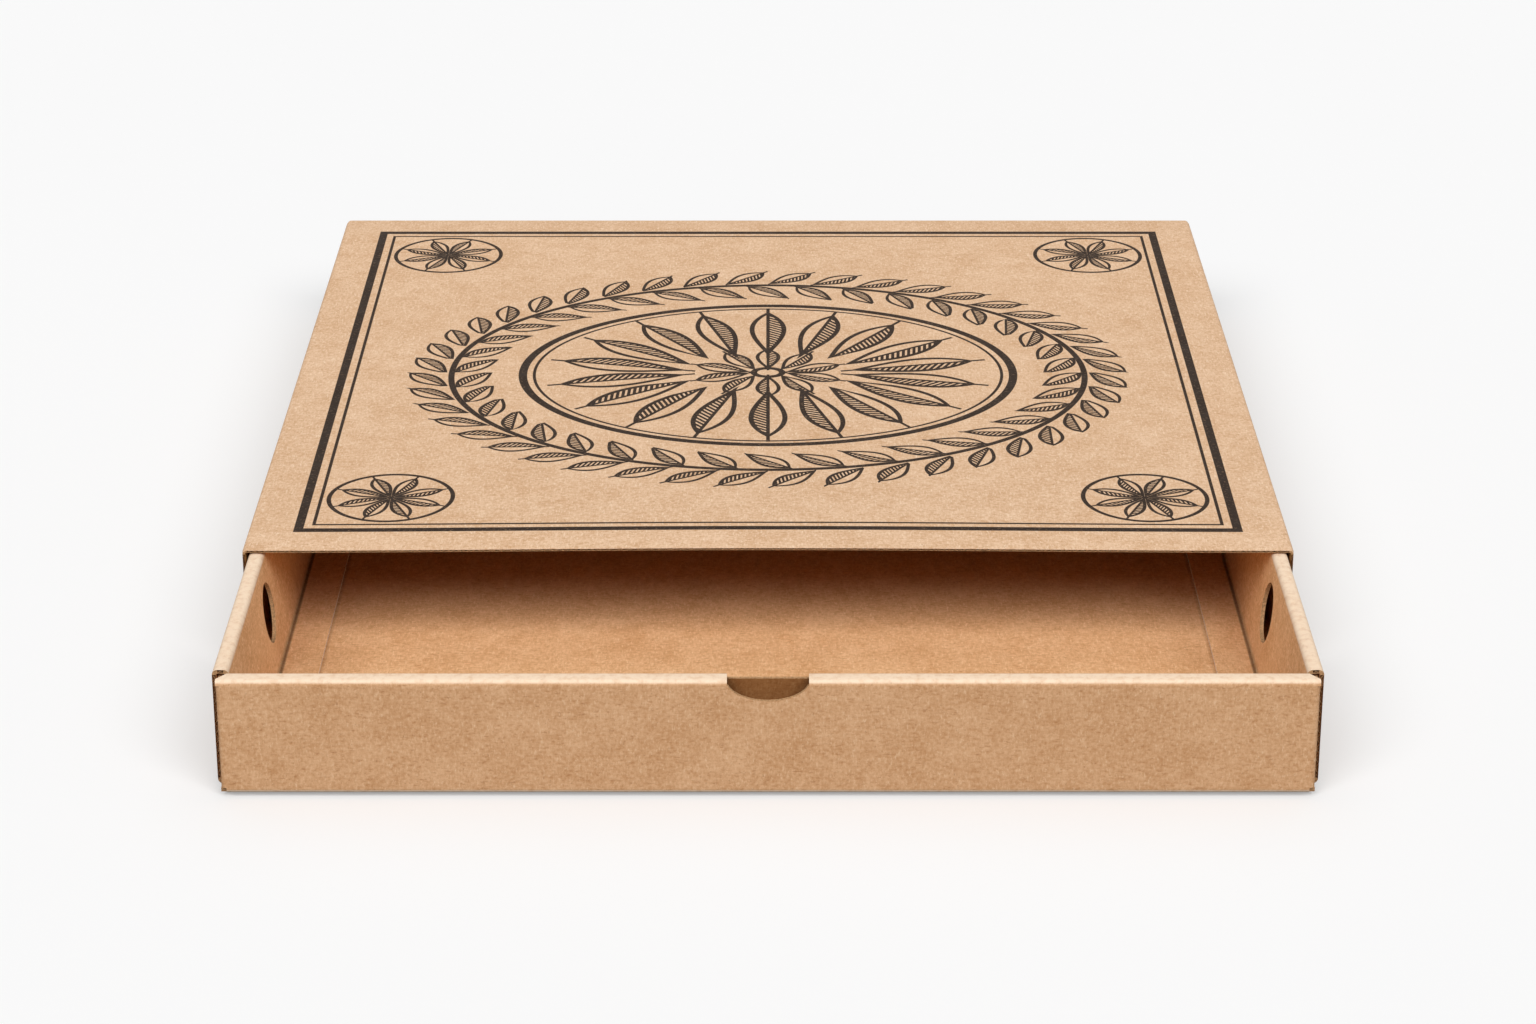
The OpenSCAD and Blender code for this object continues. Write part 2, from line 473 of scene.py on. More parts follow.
class Nodes:
    """A small helper that adds nodes to a tree and links them."""

    def __init__(self, tree):
        self.tree = tree

    def put(self, socket, value):
        """Links a socket to another one, or sets its value."""
        if isinstance(value, bpy.types.NodeSocket):
            self.tree.links.new(value, socket)
        elif value is not None:
            socket.default_value = value

    def fill(self, node, values):
        """Puts values into a node's sockets, by name or number."""
        for key, value in values.items():
            self.put(node.inputs[key], value)

    def math(self, operation, a, b=None):
        node = self.tree.nodes.new("ShaderNodeMath")
        node.operation = operation
        self.fill(node, {0: a, 1: b})
        return node.outputs[0]

    def plus(self, a, b):
        return self.math("ADD", a, b)

    def minus(self, a, b):
        return self.math("SUBTRACT", a, b)

    def times(self, a, b):
        return self.math("MULTIPLY", a, b)

    def over(self, a, b):
        return self.math("DIVIDE", a, b)

    def most(self, a, b):
        return self.math("MAXIMUM", a, b)

    def above(self, a, b):
        return self.math("GREATER_THAN", a, b)

    def below(self, a, b):
        return self.math("LESS_THAN", a, b)

    def size(self, a):
        return self.math("ABSOLUTE", a)

    def weigh(self, *pairs):
        """Sum of values, each times its weight."""
        total = self.times(*pairs[0])
        for value, weight in pairs[1:]:
            total = self.plus(total, self.times(value, weight))
        return total

    def ramp(self, value, low, high, to_low=0.0, to_high=1.0):
        """Smooth step of a value from one range to another."""
        node = self.tree.nodes.new("ShaderNodeMapRange")
        node.interpolation_type = "SMOOTHSTEP"
        limits = {"From Min": low, "From Max": high, "To Min": to_low, "To Max": to_high}
        self.fill(node, {"Value": value, **limits})
        return node.outputs[0]

    def within(self, value, limit):
        """Mask of a printed shape: where a distance in millimetres stays under its limit."""
        return self.ramp(self.minus(value, limit), -INK_EDGE, INK_EDGE, 1.0, 0.0)

    def mix(self, factor, a, b, blend="MIX"):
        """Mix of two colours."""
        node = self.tree.nodes.new("ShaderNodeMix")
        node.data_type = "RGBA"
        node.blend_type = blend
        for index, item in ((0, factor), (6, a), (7, b)):
            self.put(node.inputs[index], opaque(item) if isinstance(item, tuple) else item)
        return node.outputs[2]

    def tint(self, a, b):
        """Product of two colours."""
        return self.mix(1.0, a, b, "MULTIPLY")

    def noise(self, vector, scale, detail=2.0, rough=0.5):
        """Noise with so many features to the metre."""
        node = self.tree.nodes.new("ShaderNodeTexNoise")
        self.fill(node, {"Vector": vector, "Scale": scale, "Detail": detail, "Roughness": rough})
        return node.outputs["Fac"]

    def stretch(self, vector, scale, turn):
        """Coordinates stretched and turned."""
        node = self.tree.nodes.new("ShaderNodeMapping")
        self.fill(node, {"Vector": vector, "Rotation": turn, "Scale": scale})
        return node.outputs[0]

    def split(self, vector):
        """The three parts of a vector."""
        node = self.tree.nodes.new("ShaderNodeSeparateXYZ")
        self.put(node.inputs[0], vector)
        return node.outputs[0], node.outputs[1], node.outputs[2]

    def grey(self, value):
        """A value as a colour."""
        node = self.tree.nodes.new("ShaderNodeCombineXYZ")
        self.fill(node, {0: value, 1: value, 2: value})
        return node.outputs[0]

    def coordinates(self):
        """Object coordinates and normal."""
        node = self.tree.nodes.new("ShaderNodeTexCoord")
        return node.outputs["Object"], node.outputs["Normal"]

    def seen(self):
        """Mask of rays from the camera, and of those that gloss and glass send on."""
        path = self.tree.nodes.new("ShaderNodeLightPath").outputs
        passed_on = self.most(path["Is Glossy Ray"], path["Is Transmission Ray"])
        return self.most(path["Is Camera Ray"], passed_on)

    def group(self, tree, **values):
        """Places a node group and gives its outputs."""
        node = self.tree.nodes.new("ShaderNodeGroup")
        node.node_tree = tree
        self.fill(node, {name.replace("_", " "): value for name, value in values.items()})
        return node.outputs


def new_group(name, inputs, outputs):
    """Starts a node group with named sockets and returns its helper, inputs and outputs."""
    tree = bpy.data.node_groups.new(name, "ShaderNodeTree")
    for label, kind, default in inputs:
        socket = tree.interface.new_socket(name=label, in_out="INPUT", socket_type="NodeSocket" + kind)
        if default is not None:
            socket.default_value = default
    for label, kind in outputs:
        tree.interface.new_socket(name=label, in_out="OUTPUT", socket_type="NodeSocket" + kind)
    entry = tree.nodes.new("NodeGroupInput")
    leave = tree.nodes.new("NodeGroupOutput")
    return tree, Nodes(tree), entry.outputs, leave.inputs


def vectors(*names):
    """Vector inputs of a node group."""
    return [(name, "Vector", None) for name in names]


def numbers(**values):
    """Number inputs of a node group, with the values that they start with."""
    return [(name.replace("_", " "), "Float", value) for name, value in values.items()]


def kraft_group(speck_colour):
    """Paper: mottled brown with fibres, specks and the faint ripple of the flutes."""
    brown = ("Colour", "Color", (0.7, 0.47, 0.3, 1.0))
    tree, n, given, gives = new_group(
        "Kraft Paper",
        [*vectors("Vector", "Normal"), brown, *numbers(Flute_Pitch=0.0032)],
        [("Colour", "Color"), ("Height", "Float"), ("Roughness", "Float")],
    )
    at, paper = given["Vector"], given["Colour"]
    cloud = n.noise(at, 55.0, 4.0, 0.6)
    blotch = n.noise(at, 170.0, 4.0, 0.62)
    pulp = n.noise(at, 900.0, 4.0, 0.68)
    speck = n.noise(at, 1100.0, 1.0, 0.5)
    fine = n.noise(at, 3000.0, 3.0, 0.7)
    dark_fibre = n.noise(n.stretch(at, (420.0, 1900.0, 1500.0), (0.2, 0.1, 0.5)), 1.0, 3.0, 0.65)
    pale_fibre = n.noise(n.stretch(at, (1900.0, 420.0, 700.0), (0.5, 0.3, 0.2)), 1.0, 3.0, 0.65)

    shade = n.weigh(
        (cloud, 0.17), (blotch, 0.17), (pulp, 0.38), (dark_fibre, 0.21), (pale_fibre, 0.21), (fine, 0.16),
    )
    deep = n.tint(paper, (0.80, 0.68, 0.55))
    light = n.tint(paper, (1.16, 1.20, 1.26))
    colour = n.mix(n.ramp(shade, 0.48, 0.80), deep, light)
    colour = n.mix(n.ramp(speck, 0.68, 0.78, 0.0, 0.34), colour, tuple(speck_colour))
    colour = n.mix(n.ramp(pale_fibre, 0.57, 0.70, 0.0, 0.40), colour, n.tint(paper, (1.32, 1.60, 1.90)))
    colour = n.mix(n.ramp(dark_fibre, 0.42, 0.29, 0.0, 0.36), colour, n.tint(paper, (0.52, 0.36, 0.25)))
    n.put(gives["Colour"], colour)

    x, _, z = n.split(at)
    upright = n.above(n.size(n.split(given["Normal"])[0]), 0.7)
    across = n.plus(n.times(z, upright), n.times(x, n.minus(1.0, upright)))
    wave = n.math("SINE", n.times(n.over(across, given["Flute Pitch"]), 2 * math.pi))
    wave = n.times(wave, n.ramp(cloud, 0.30, 0.70))
    n.put(gives["Height"], n.weigh((pulp, 0.6), (dark_fibre, 0.4), (fine, 0.35), (wave, 0.035)))
    n.put(gives["Roughness"], n.ramp(blotch, 0.3, 0.7, 0.80, 0.92))
    return tree


def wear_and_painted_light_group():
    """Masks for pale folds, at the top of the walls from scuffing and a painted highlight and at their foot
    from a painted reflection of the floor, and for a painted shade line at each side.
    """
    tree, n, given, gives = new_group(
        "Fold Wear And Painted Light And Shade",
        vectors("Vector", "Normal") + numbers(
            Rubbed_From=0.035, Rubbed_Foot=-1.0, Score_X=0.153, Score_Front=-0.25, Score_Foot=0.003,
            Score_Top=0.007, Score_Width=0.0009, Score_Strength=0.72,
        ),
        [("RubbedAndLit", "Float"), ("PaintedShade", "Float")],
    )
    x, y, z = n.split(given["Vector"])
    # Top bands: pale partly from scuffing and partly as a painted highlight where the folds catch the light
    top = n.ramp(n.minus(z, given["Rubbed From"]), 0.0, 0.0008)
    # Lower fold: a pale line painted as the floor's light reflected onto the rounded fold
    foot = n.ramp(n.minus(given["Rubbed Foot"], z), 0.0, 0.0004)
    not_under = n.above(n.split(given["Normal"])[2], -0.95)
    rubbed_and_lit = n.most(top, n.times(foot, not_under))
    patch = n.noise(given["Vector"], 420.0, 3.0, 0.6)
    n.put(gives["RubbedAndLit"], n.times(rubbed_and_lit, n.ramp(patch, 0.25, 0.6, 0.6, 1.0)))

    # Painted shade: a dark line at a set distance from the middle, between two heights and behind a front
    # limit
    off = n.size(n.minus(n.size(x), given["Score X"]))
    painted_shade = n.ramp(n.over(off, given["Score Width"]), 0.2, 1.0, 1.0, 0.0)
    painted_shade = n.times(painted_shade, n.above(y, given["Score Front"]))
    level = n.times(n.above(z, given["Score Foot"]), n.below(z, given["Score Top"]))
    n.put(gives["PaintedShade"], n.times(n.times(painted_shade, level), given["Score Strength"]))
    return tree


def oval_group():
    """An oval line: mask of points within half a line of the oval. Lengths in millimetres."""
    tree, n, given, gives = new_group(
        "Oval Line",
        numbers(X=0.0, Y=0.0, Radius_X=100.0, Radius_Y=80.0, Half_Line=0.5),
        [("Mask", "Float")],
    )
    x, y = given["X"], given["Y"]
    share_x, share_y = n.over(x, given["Radius X"]), n.over(y, given["Radius Y"])
    share = n.math("SQRT", n.plus(n.times(share_x, share_x), n.times(share_y, share_y)))
    far = n.math("SQRT", n.plus(n.times(x, x), n.times(y, y)))
    off = n.times(n.size(n.minus(share, 1.0)), n.over(far, n.most(share, 0.01)))
    n.put(gives["Mask"], n.within(off, given["Half Line"]))
    return tree


def leaf_group():
    """A ring of leaves, each with an outline, a midrib and a hatched half. Lengths in millimetres."""
    tree, n, given, gives = new_group(
        "Leaf Ring",
        numbers(
            X=0.0, Y=0.0, Radius_X=100.0, Radius_Y=80.0, Count=30.0, Half_Length=9.0, Half_Width=3.2,
            Lean=0.7, Half_Line=0.45, Hatch=1.5,
        ),
        [("Mask", "Float")],
    )
    x, y = given["X"], given["Y"]
    radius_x, radius_y = given["Radius X"], given["Radius Y"]
    count, half_line = given["Count"], given["Half Line"]

    # Middle of the leaf that is nearest, and its heading
    round_by = n.math("ARCTAN2", n.over(y, radius_y), n.over(x, radius_x))
    cell = n.times(n.over(round_by, 2 * math.pi), count)
    mid = n.times(n.over(n.plus(n.math("FLOOR", cell), 0.5), count), 2 * math.pi)
    mid_cos, mid_sin = n.math("COSINE", mid), n.math("SINE", mid)
    from_x = n.minus(x, n.times(radius_x, mid_cos))
    from_y = n.minus(y, n.times(radius_y, mid_sin))
    along_oval = n.math("ARCTAN2", n.times(radius_y, mid_cos), n.times(n.times(radius_x, mid_sin), -1.0))
    heading = n.plus(along_oval, given["Lean"])
    head_cos, head_sin = n.math("COSINE", heading), n.math("SINE", heading)

    # Place along the leaf as a share of its half length, and to its side
    share = n.over(n.plus(n.times(from_x, head_cos), n.times(from_y, head_sin)), given["Half Length"])
    beside = n.minus(n.times(from_y, head_cos), n.times(from_x, head_sin))
    side = n.size(beside)
    belly = n.times(n.minus(1.0, n.times(share, share)), n.minus(1.0, n.times(share, 0.35)))
    off = n.minus(side, n.times(belly, given["Half Width"]))

    rim = n.within(n.size(off), half_line)
    rib = n.times(n.within(side, n.times(half_line, 0.7)), n.below(n.size(share), 1.25))
    slant = n.plus(n.times(share, given["Half Length"]), n.times(side, -0.8))
    stroke = n.below(n.math("FRACT", n.over(slant, given["Hatch"])), 0.6)
    hatch = n.times(n.times(stroke, n.above(beside, 0.0)), n.within(off, 0.0))
    body = n.times(n.most(rim, hatch), n.below(n.size(share), 1.03))
    n.put(gives["Mask"], n.most(body, rib))
    return tree


def frame_group():
    """A square line of a given half width. Lengths in millimetres."""
    tree, n, given, gives = new_group(
        "Frame Line",
        numbers(X=0.0, Y=0.0, Half_Width=140.0, Half_Line=0.5),
        [("Mask", "Float")],
    )
    off_x = n.minus(n.size(given["X"]), given["Half Width"])
    off_y = n.minus(n.size(given["Y"]), given["Half Width"])
    n.put(gives["Mask"], n.within(n.size(n.most(off_x, off_y)), given["Half Line"]))
    return tree


def print_group(design):
    """The printed design: a double frame, corner rosettes and a leaf wreath round a rosette."""
    oval, leaf, line = oval_group(), leaf_group(), frame_group()
    tree, n, given, gives = new_group("Print Design", vectors("Vector"), [("Mask", "Float")])
    x, y = (n.times(part, MILLIMETRES) for part in n.split(given["Vector"])[:2])
    masks = []

    def draw(shape, at, half_line, **values):
        masks.append(n.group(shape, X=at[0], Y=at[1], Half_Line=half_line, **values)["Mask"])

    def frame_line(half_width, half_line):
        draw(line, (x, y), half_line, Half_Width=half_width * MILLIMETRES)

    def ring_of(shape, at, radius, half_line, **values):
        across, along = (part * MILLIMETRES for part in radius)
        draw(shape, at, half_line, Radius_X=across, Radius_Y=along, **values)

    def oval_line(at, radius, half_line):
        ring_of(oval, at, radius, half_line)

    def leaves(at, radius, count, half_size, lean, half_line, hatch):
        size = {"Half_Length": half_size[0], "Half_Width": half_size[1]}
        ring_of(leaf, at, radius, half_line, Count=count, Lean=lean, Hatch=hatch, **size)

    frame_line(design.frame, 1.5)
    frame_line(design.inner_frame, 0.55)

    corner = [n.minus(n.size(part), design.corner * MILLIMETRES) for part in (x, y)]
    leaves(corner, (0.0095, 0.0095), 8.0, (8.0, 2.6), QUARTER, 0.6, 1.5)
    oval_line(corner, (design.corner_ring, design.corner_ring), 0.75)

    centre = (x, n.plus(y, design.shift * MILLIMETRES))
    stem_x, stem_y, leaf_off, leaf_turn = design.wreath_x, design.wreath_y, design.leaf_off, 0.72
    for side, count, lean in ((1, 44.0, leaf_turn), (-1, 38.0, math.pi - leaf_turn)):
        radius = (stem_x + side * leaf_off, stem_y + side * leaf_off)
        leaves(centre, radius, count, (9.4, 3.7), lean, 0.65, 1.7)
    oval_line(centre, (stem_x, stem_y), 1.1)

    oval_line(centre, (design.ring_x, design.ring_y), 1.5)
    oval_line(centre, (design.ring_x - 0.004, design.ring_y - 0.0035), 0.55)
    leaves(centre, (0.052, 0.041), 18.0, (21.0, 5.6), QUARTER, 0.9, 2.4)
    leaves(centre, (0.017, 0.014), 10.0, (9.5, 3.6), QUARTER, 0.7, 1.8)
    oval_line(centre, (0.005, 0.0042), 1.2)

    total = masks[0]
    for mask in masks[1:]:
        total = n.most(total, mask)
    n.put(gives["Mask"], total)
    return tree


def new_material(name):
    """Starts a material and returns it with its helper and shader."""
    material = bpy.data.materials.new(name)
    material.use_nodes = True
    return material, Nodes(material.node_tree), material.node_tree.nodes["Principled BSDF"]


def paper_material(name, colour, kraft, flute, worn_and_lit=None, printed=None):
    """Paper face of the board: plain, printed, or with folds made pale by scuffing and painted highlight
    and with painted shade lines.
    """
    material, n, shader = new_material(name)
    at, normal = n.coordinates()
    paper = n.group(kraft, Vector=at, Normal=normal, Colour=opaque(colour), Flute_Pitch=flute)
    shown, rough = paper["Colour"], paper["Roughness"]
    if worn_and_lit:
        wear_and_light, places, fold, painted_shade = worn_and_lit
        masks = n.group(wear_and_light, Vector=at, Normal=normal, **places)
        # Pale folds: partly scuffing, partly a painted highlight and reflection
        shown = n.mix(n.times(masks["RubbedAndLit"], 0.85), shown, tuple(fold))
        # Painted shade: dark lines in the creases and beside the floor strips
        shown = n.mix(masks["PaintedShade"], shown, tuple(painted_shade))
    if printed:
        design, ink = printed
        cover = n.ramp(n.noise(at, 900.0, 4.0, 0.65), 0.30, 0.46, 0.84, 1.0)
        mask = n.times(n.group(design, Vector=at)["Mask"], cover)
        shown = n.mix(mask, shown, tuple(ink))
        rough = n.minus(rough, n.times(mask, 0.12))
    bump = material.node_tree.nodes.new("ShaderNodeBump")
    n.fill(bump, {"Strength": 0.5, "Distance": 0.0002, "Height": paper["Height"]})
    n.fill(shader, {
        "Base Color": shown, "Roughness": rough, "Specular IOR Level": 0.12, "Normal": bump.outputs[0],
    })


def edge_material(name, colour):
    """Cut edge of the board: rough, with a fine grain."""
    _, n, shader = new_material(name)
    at, _ = n.coordinates()
    tone = n.ramp(n.noise(at, 1800.0, 3.0, 0.7), 0.3, 0.7, 0.6, 1.3)
    n.fill(shader, {
        "Base Color": n.tint(tuple(colour), n.grey(tone)), "Roughness": 0.95, "Specular IOR Level": 0.1,
    })


class PIZZABOX_OT_finishes(Operator):
    """Makes the paper, print and cut-edge materials"""

    bl_idname = "pizzabox.finishes"
    bl_label = "Make Finishes"

    def execute(self, context):
        settings = context.scene.pizza_box
        finish, tray = settings.finish, settings.tray
        t, flute = settings.board.thickness, settings.board.flute
        low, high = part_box("tray")
        kraft, wear_and_light = kraft_group(finish.speck), wear_and_painted_light_group()
        inner_foot = high.x - tray.side_band - (high.z - low.z) * math.tan(tray.lean)
        # On the walls: pale top bands from scuffing and a painted highlight, a pale lower fold as a painted
        # reflection of the floor, and a painted shade line in the crease at the foot of each inner wall
        wall_places = {
            "Rubbed_From": high.z - tray.end_drop - t,
            "Rubbed_Foot": low.z + t * 1.1,
            "Score_X": inner_foot,
            "Score_Front": low.y + tray.end_band,
            "Score_Foot": low.z + t * 1.5,
            "Score_Top": low.z + t * 4,
        }
        # On the floor: a soft painted shadow beside each strip's edge; the pale fold limits are set to the
        # tray's top and underside, so no pale folds show
        floor_places = {
            **wall_places,
            "Rubbed_From": high.z,
            "Rubbed_Foot": low.z,
            "Score_X": inner_foot - tray.strip,
            "Score_Foot": low.z,
            "Score_Top": low.z + t * 2,
            "Score_Width": t,
            "Score_Strength": 0.22,
        }
        # Painted light: the tray's floor and inner side walls take a paler colour than its outside
        for name, colour, places in (
            ("Tray Paper", finish.tray, wall_places),
            ("Tray Lining Painted Light", finish.tray_inside_painted_light, wall_places),
            ("Tray Inside Painted Light", finish.tray_inside_painted_light, floor_places),
        ):
            paper_material(name, colour, kraft, flute, worn_and_lit=(wear_and_light, places, finish.fold, finish.painted_shade))
        # Painted shade: the dark paper inside the front and back walls
        paper_material("Hollow Painted Shade", finish.hollow_painted_shade, kraft, flute)
        # Painted shade: the sleeve's inside paper is darkened to deepen the shade under the sleeve
        paper_material("Sleeve Inside Painted Shade", finish.sleeve_inside_painted_shade, kraft, flute)
        paper_material("Sleeve Paper", finish.sleeve, kraft, flute)
        printed = (print_group(settings.design), finish.ink)
        paper_material("Sleeve Print", finish.sleeve, kraft, flute, printed=printed)
        edge_material("Cut Edge", finish.edge)
        # Pale strip edges: partly the slit edge's own colour, partly a painted highlight
        edge_material("Strip Edge", finish.fold)
        return {"FINISHED"}


def fold_sleeve(board, made, low, high):
    """Folds the bottom panel's sheet round to the open seam, and divides its ends and top panel."""
    fold = board.thickness + board.crease
    floor_z, top_z = low.z + board.thickness / 2, high.z - board.thickness / 2
    across, up = high.x - low.x - 2 * fold, high.z - low.z - 2 * fold
    obj = start_plane("Sleeve", SLEEVE_SLOTS, (low.x + fold, low.y), (high.x - fold, high.y), floor_z)
    press_line = high.y - made.press
    for y in (-press_line, press_line):
        cut_across((0, y, 0), (0, 1, 0))
    pick(obj, lambda e: near(middle(e).x, low.x + fold))
    Folder(board, (-1, 0, 0), (low.x + fold, 0, floor_z)).turn(QUARTER)
    pick(obj, lambda e: near(middle(e).x, high.x - fold) and near(middle(e).z, floor_z))
    folder = Folder(board, (1, 0, 0), (high.x - fold, 0, floor_z))
    folder.run([(0, QUARTER), (up, QUARTER), (across, QUARTER), (up - made.seam, 0)])

    def at_end(edge):
        return near(abs(middle(edge).y), high.y) or near(abs(middle(edge).y), press_line)

    divide_ends(obj, board, lambda e: at_end(e) and span_y(e) < TINY)
    pick(obj, lambda e: near(middle(e).z, top_z) and span_y(e) > (high.y - low.y) / 2)
    bpy.ops.mesh.subdivide(number_cuts=made.rows - 1)
    return obj


def raise_crown(obj, board, made, low, high):
    """Lets the middle of the top panel stand up a little at the mouth."""
    top_z = high.z - board.thickness / 2
    pick(
        obj,
        lambda e: near(middle(e).z, top_z) and near(middle(e).y, low.y) and abs(middle(e).x) < board.flute,
    )
    bpy.ops.transform.translate(
        value=(0, 0, made.crown), use_proportional_edit=True, use_proportional_connected=True,
        proportional_edit_falloff="SMOOTH", proportional_size=made.crown_reach,
    )


def build_lap(board, made, low, high):
    """Makes the crushed glue lap inside the left wall, with sloped ends."""
    t, span = board.thickness, high.y - low.y
    bpy.ops.object.select_all(action="DESELECT")
    bpy.ops.mesh.primitive_cube_add(size=1.0, location=(0, 0, 0))
    lap = bpy.context.object
    lap.name = "Glue_Lap"
    bpy.ops.object.mode_set(mode="EDIT")
    bpy.ops.mesh.select_all(action="SELECT")
    size = (made.lap_thickness, span, made.lap_height)
    bpy.ops.transform.resize(value=size, center_override=(0, 0, 0))
    place = (low.x + t + made.lap_thickness / 2, 0, low.z + t + made.lap_height / 2)
    bpy.ops.transform.translate(value=place)
    pick(lap, lambda f: near(middle(f).z, low.z + t + made.lap_height), "FACE")
    bpy.ops.transform.resize(value=(1, (span - 2 * made.lap_taper) / span, 1), center_override=(0, 0, 0))
    bpy.ops.object.mode_set(mode="OBJECT")
    # The lap takes the sleeve's inside paper, darkened as painted shade
    lap.data.materials.append(bpy.data.materials["Sleeve Inside Painted Shade"])
    return lap


class PIZZABOX_OT_sleeve(Operator):
    """Folds the sleeve from one sheet and glues its lap"""

    bl_idname = "pizzabox.sleeve"
    bl_label = "Build Sleeve"

    def execute(self, context):
        settings = context.scene.pizza_box
        board, made = settings.board, settings.sleeve
        low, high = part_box("sleeve")
        obj = fold_sleeve(board, made, low, high)
        raise_crown(obj, board, made, low, high)
        thicken(obj, board, (lambda co: near(abs(co.y), high.y), made.pressed))
        open_flutes(obj, board, lambda f: near(abs(middle(f).y), high.y), made.pressed)
        bpy.ops.object.mode_set(mode="EDIT")
        middle_z = high.z - board.thickness / 2
        dress(
            obj, "Sleeve Print",
            lambda f: f.material_index == OUTSIDE and f.normal.z > FACING and middle(f).z > middle_z,
        )
        outward(obj)
        hand_over(obj, "sleeve", "sleeve")
        hand_over(build_lap(board, made, low, high), "sleeve", "sleeve")
        return {"FINISHED"}


class TrayForm:
    """Sizes of the folded tray, worked out from the settings and the CAD node's box."""

    def __init__(self, board, made):
        t, crease = board.thickness, board.crease
        self.board, self.made = board, made
        self.low, self.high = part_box("tray")
        self.fold = t + crease
        self.floor_z = self.low.z + t / 2
        self.tall = self.high.z - self.low.z
        self.end_tall = self.tall - made.end_drop
        # The side walls run between the front and back walls
        self.side_from = self.low.y + made.end_band + made.butt
        self.side_to = self.high.y - made.end_band - made.butt
        # The inner side wall stops when its strip lies just over the floor
        strip_gap = t / 40
        rise = self.tall - self.fold + (2 * crease + t) * math.sin(made.lean) - (2 * t + crease) - strip_gap
        self.inner = rise / math.cos(made.lean)
        # The corner flaps stand off the outer side walls by half a board
        self.flap_face = self.high.x - 1.5 * t
        self.end_half = self.flap_face - self.fold
        self.band_foot = self.flap_face - t - made.mitre
        self.flap_low = self.fold + made.butt
        self.flap_top = self.end_tall - self.fold - made.butt

    def at_side_end(self, item):
        """Whether an edge or a face lies at an end of the side walls."""
        return near(middle(item).y, self.side_from) or near(middle(item).y, self.side_to)

    def beside(self, item):
        """Whether an edge or a face lies between the ends of the side walls."""
        return self.side_from < middle(item).y < self.side_to


def lay_floor(form):
    """Adds the tray's floor, cut where its walls begin and end."""
    low, high, fold = form.low, form.high, form.fold
    obj = start_plane(
        "Tray", TRAY_SLOTS, (low.x + fold, low.y + fold), (high.x - fold, high.y - fold), form.floor_z,
    )
    for y in (form.side_from, form.side_to):
        cut_across((0, y, 0), (0, 1, 0))
    for x in (-form.end_half, form.end_half):
        cut_across((x, 0, 0), (1, 0, 0))
    return obj


def fold_side_wall(obj, form, sign):
    """Folds an outer wall, its band, the leaning inner wall and the strip on the floor."""
    made, fold = form.made, form.fold
    x = sign * (form.high.x - fold)
    pick(obj, lambda e: near(middle(e).x, x) and form.beside(e))
    Folder(form.board, (sign, 0, 0), (x, 0, form.floor_z)).run([
        (0, QUARTER),
        (form.tall - 2 * fold, QUARTER),
        (made.side_band - 2 * fold, QUARTER - made.lean),
        (form.inner, made.lean - QUARTER),
        (made.strip, 0),
    ])


def fold_end_wall(obj, form, sign):
    """Folds an outer panel, its mitred band and the inner panel, and turns in the corner flaps."""
    board, made, fold = form.board, form.made, form.fold
    edge_y = form.low.y if sign < 0 else form.high.y
    y = edge_y - sign * fold

    def is_root(edge):
        at = middle(edge)
        return near(at.y, y) and near(at.z, form.floor_z) and abs(at.x) < form.end_half

    pick(obj, is_root)
    folder = Folder(board, (0, sign, 0), (0, y, form.floor_z))
    folder.run([
        (0, QUARTER),
        (form.flap_low - fold, 0),
        (form.flap_top - form.flap_low, 0),
        (form.end_tall - fold - form.flap_top, 0),
    ])
    widen(form.flap_face / form.end_half)
    folder.run([(0, QUARTER), (made.end_band - 2 * fold, 0)])
    widen(form.band_foot / form.flap_face)
    folder.run([(0, QUARTER), (form.end_tall - fold - board.thickness - made.butt, 0)])

    face_y = edge_y - sign * board.thickness / 2
    height = form.low.z + (form.flap_low + form.flap_top) / 2
    for side in (-1, 1):
        place = Vector((side * form.end_half, face_y, height))
        pick(obj, lambda e: all(near(a, b) for a, b in zip(middle(e), place)))
        Folder(board, (side, 0, 0), place, up=(0, -sign, 0)).run([(0, QUARTER), (made.flap, 0)])


def cut_openings(obj, form):
    """Cuts the holes in the side walls, and the thumb notch through the front panel and its band."""
    made, low, high = form.made, form.low, form.high
    bpy.ops.object.select_all(action="DESELECT")
    bpy.ops.mesh.primitive_cylinder_add(
        vertices=HOLE_SIDES, radius=made.hole / 2, depth=high.x - low.x + 2 * CUT_MARGIN,
        location=(0, low.y + made.hole_back, low.z + made.hole_up), rotation=(0, QUARTER, 0),
    )
    cut_out(obj, "Hole Cutter")
    depth = made.end_band - form.board.thickness + CUT_MARGIN
    bpy.ops.mesh.primitive_cylinder_add(
        vertices=NOTCH_SIDES, radius=made.notch_width / 2, depth=depth,
        location=(0, low.y - CUT_MARGIN + depth / 2, low.z + form.end_tall), rotation=(QUARTER, 0, 0),
        scale=(1, 2 * made.notch_depth / made.notch_width, 1),
    )
    cut_out(obj, "Notch Cutter")
    bpy.ops.mesh.primitive_cube_add(
        size=1.0, location=(0, low.y + made.end_band / 2, low.z + form.end_tall - form.fold + CUT_MARGIN),
        scale=(made.notch_width, made.end_band + CUT_MARGIN, 2 * CUT_MARGIN),
    )
    cut_out(obj, "Band Cutter")


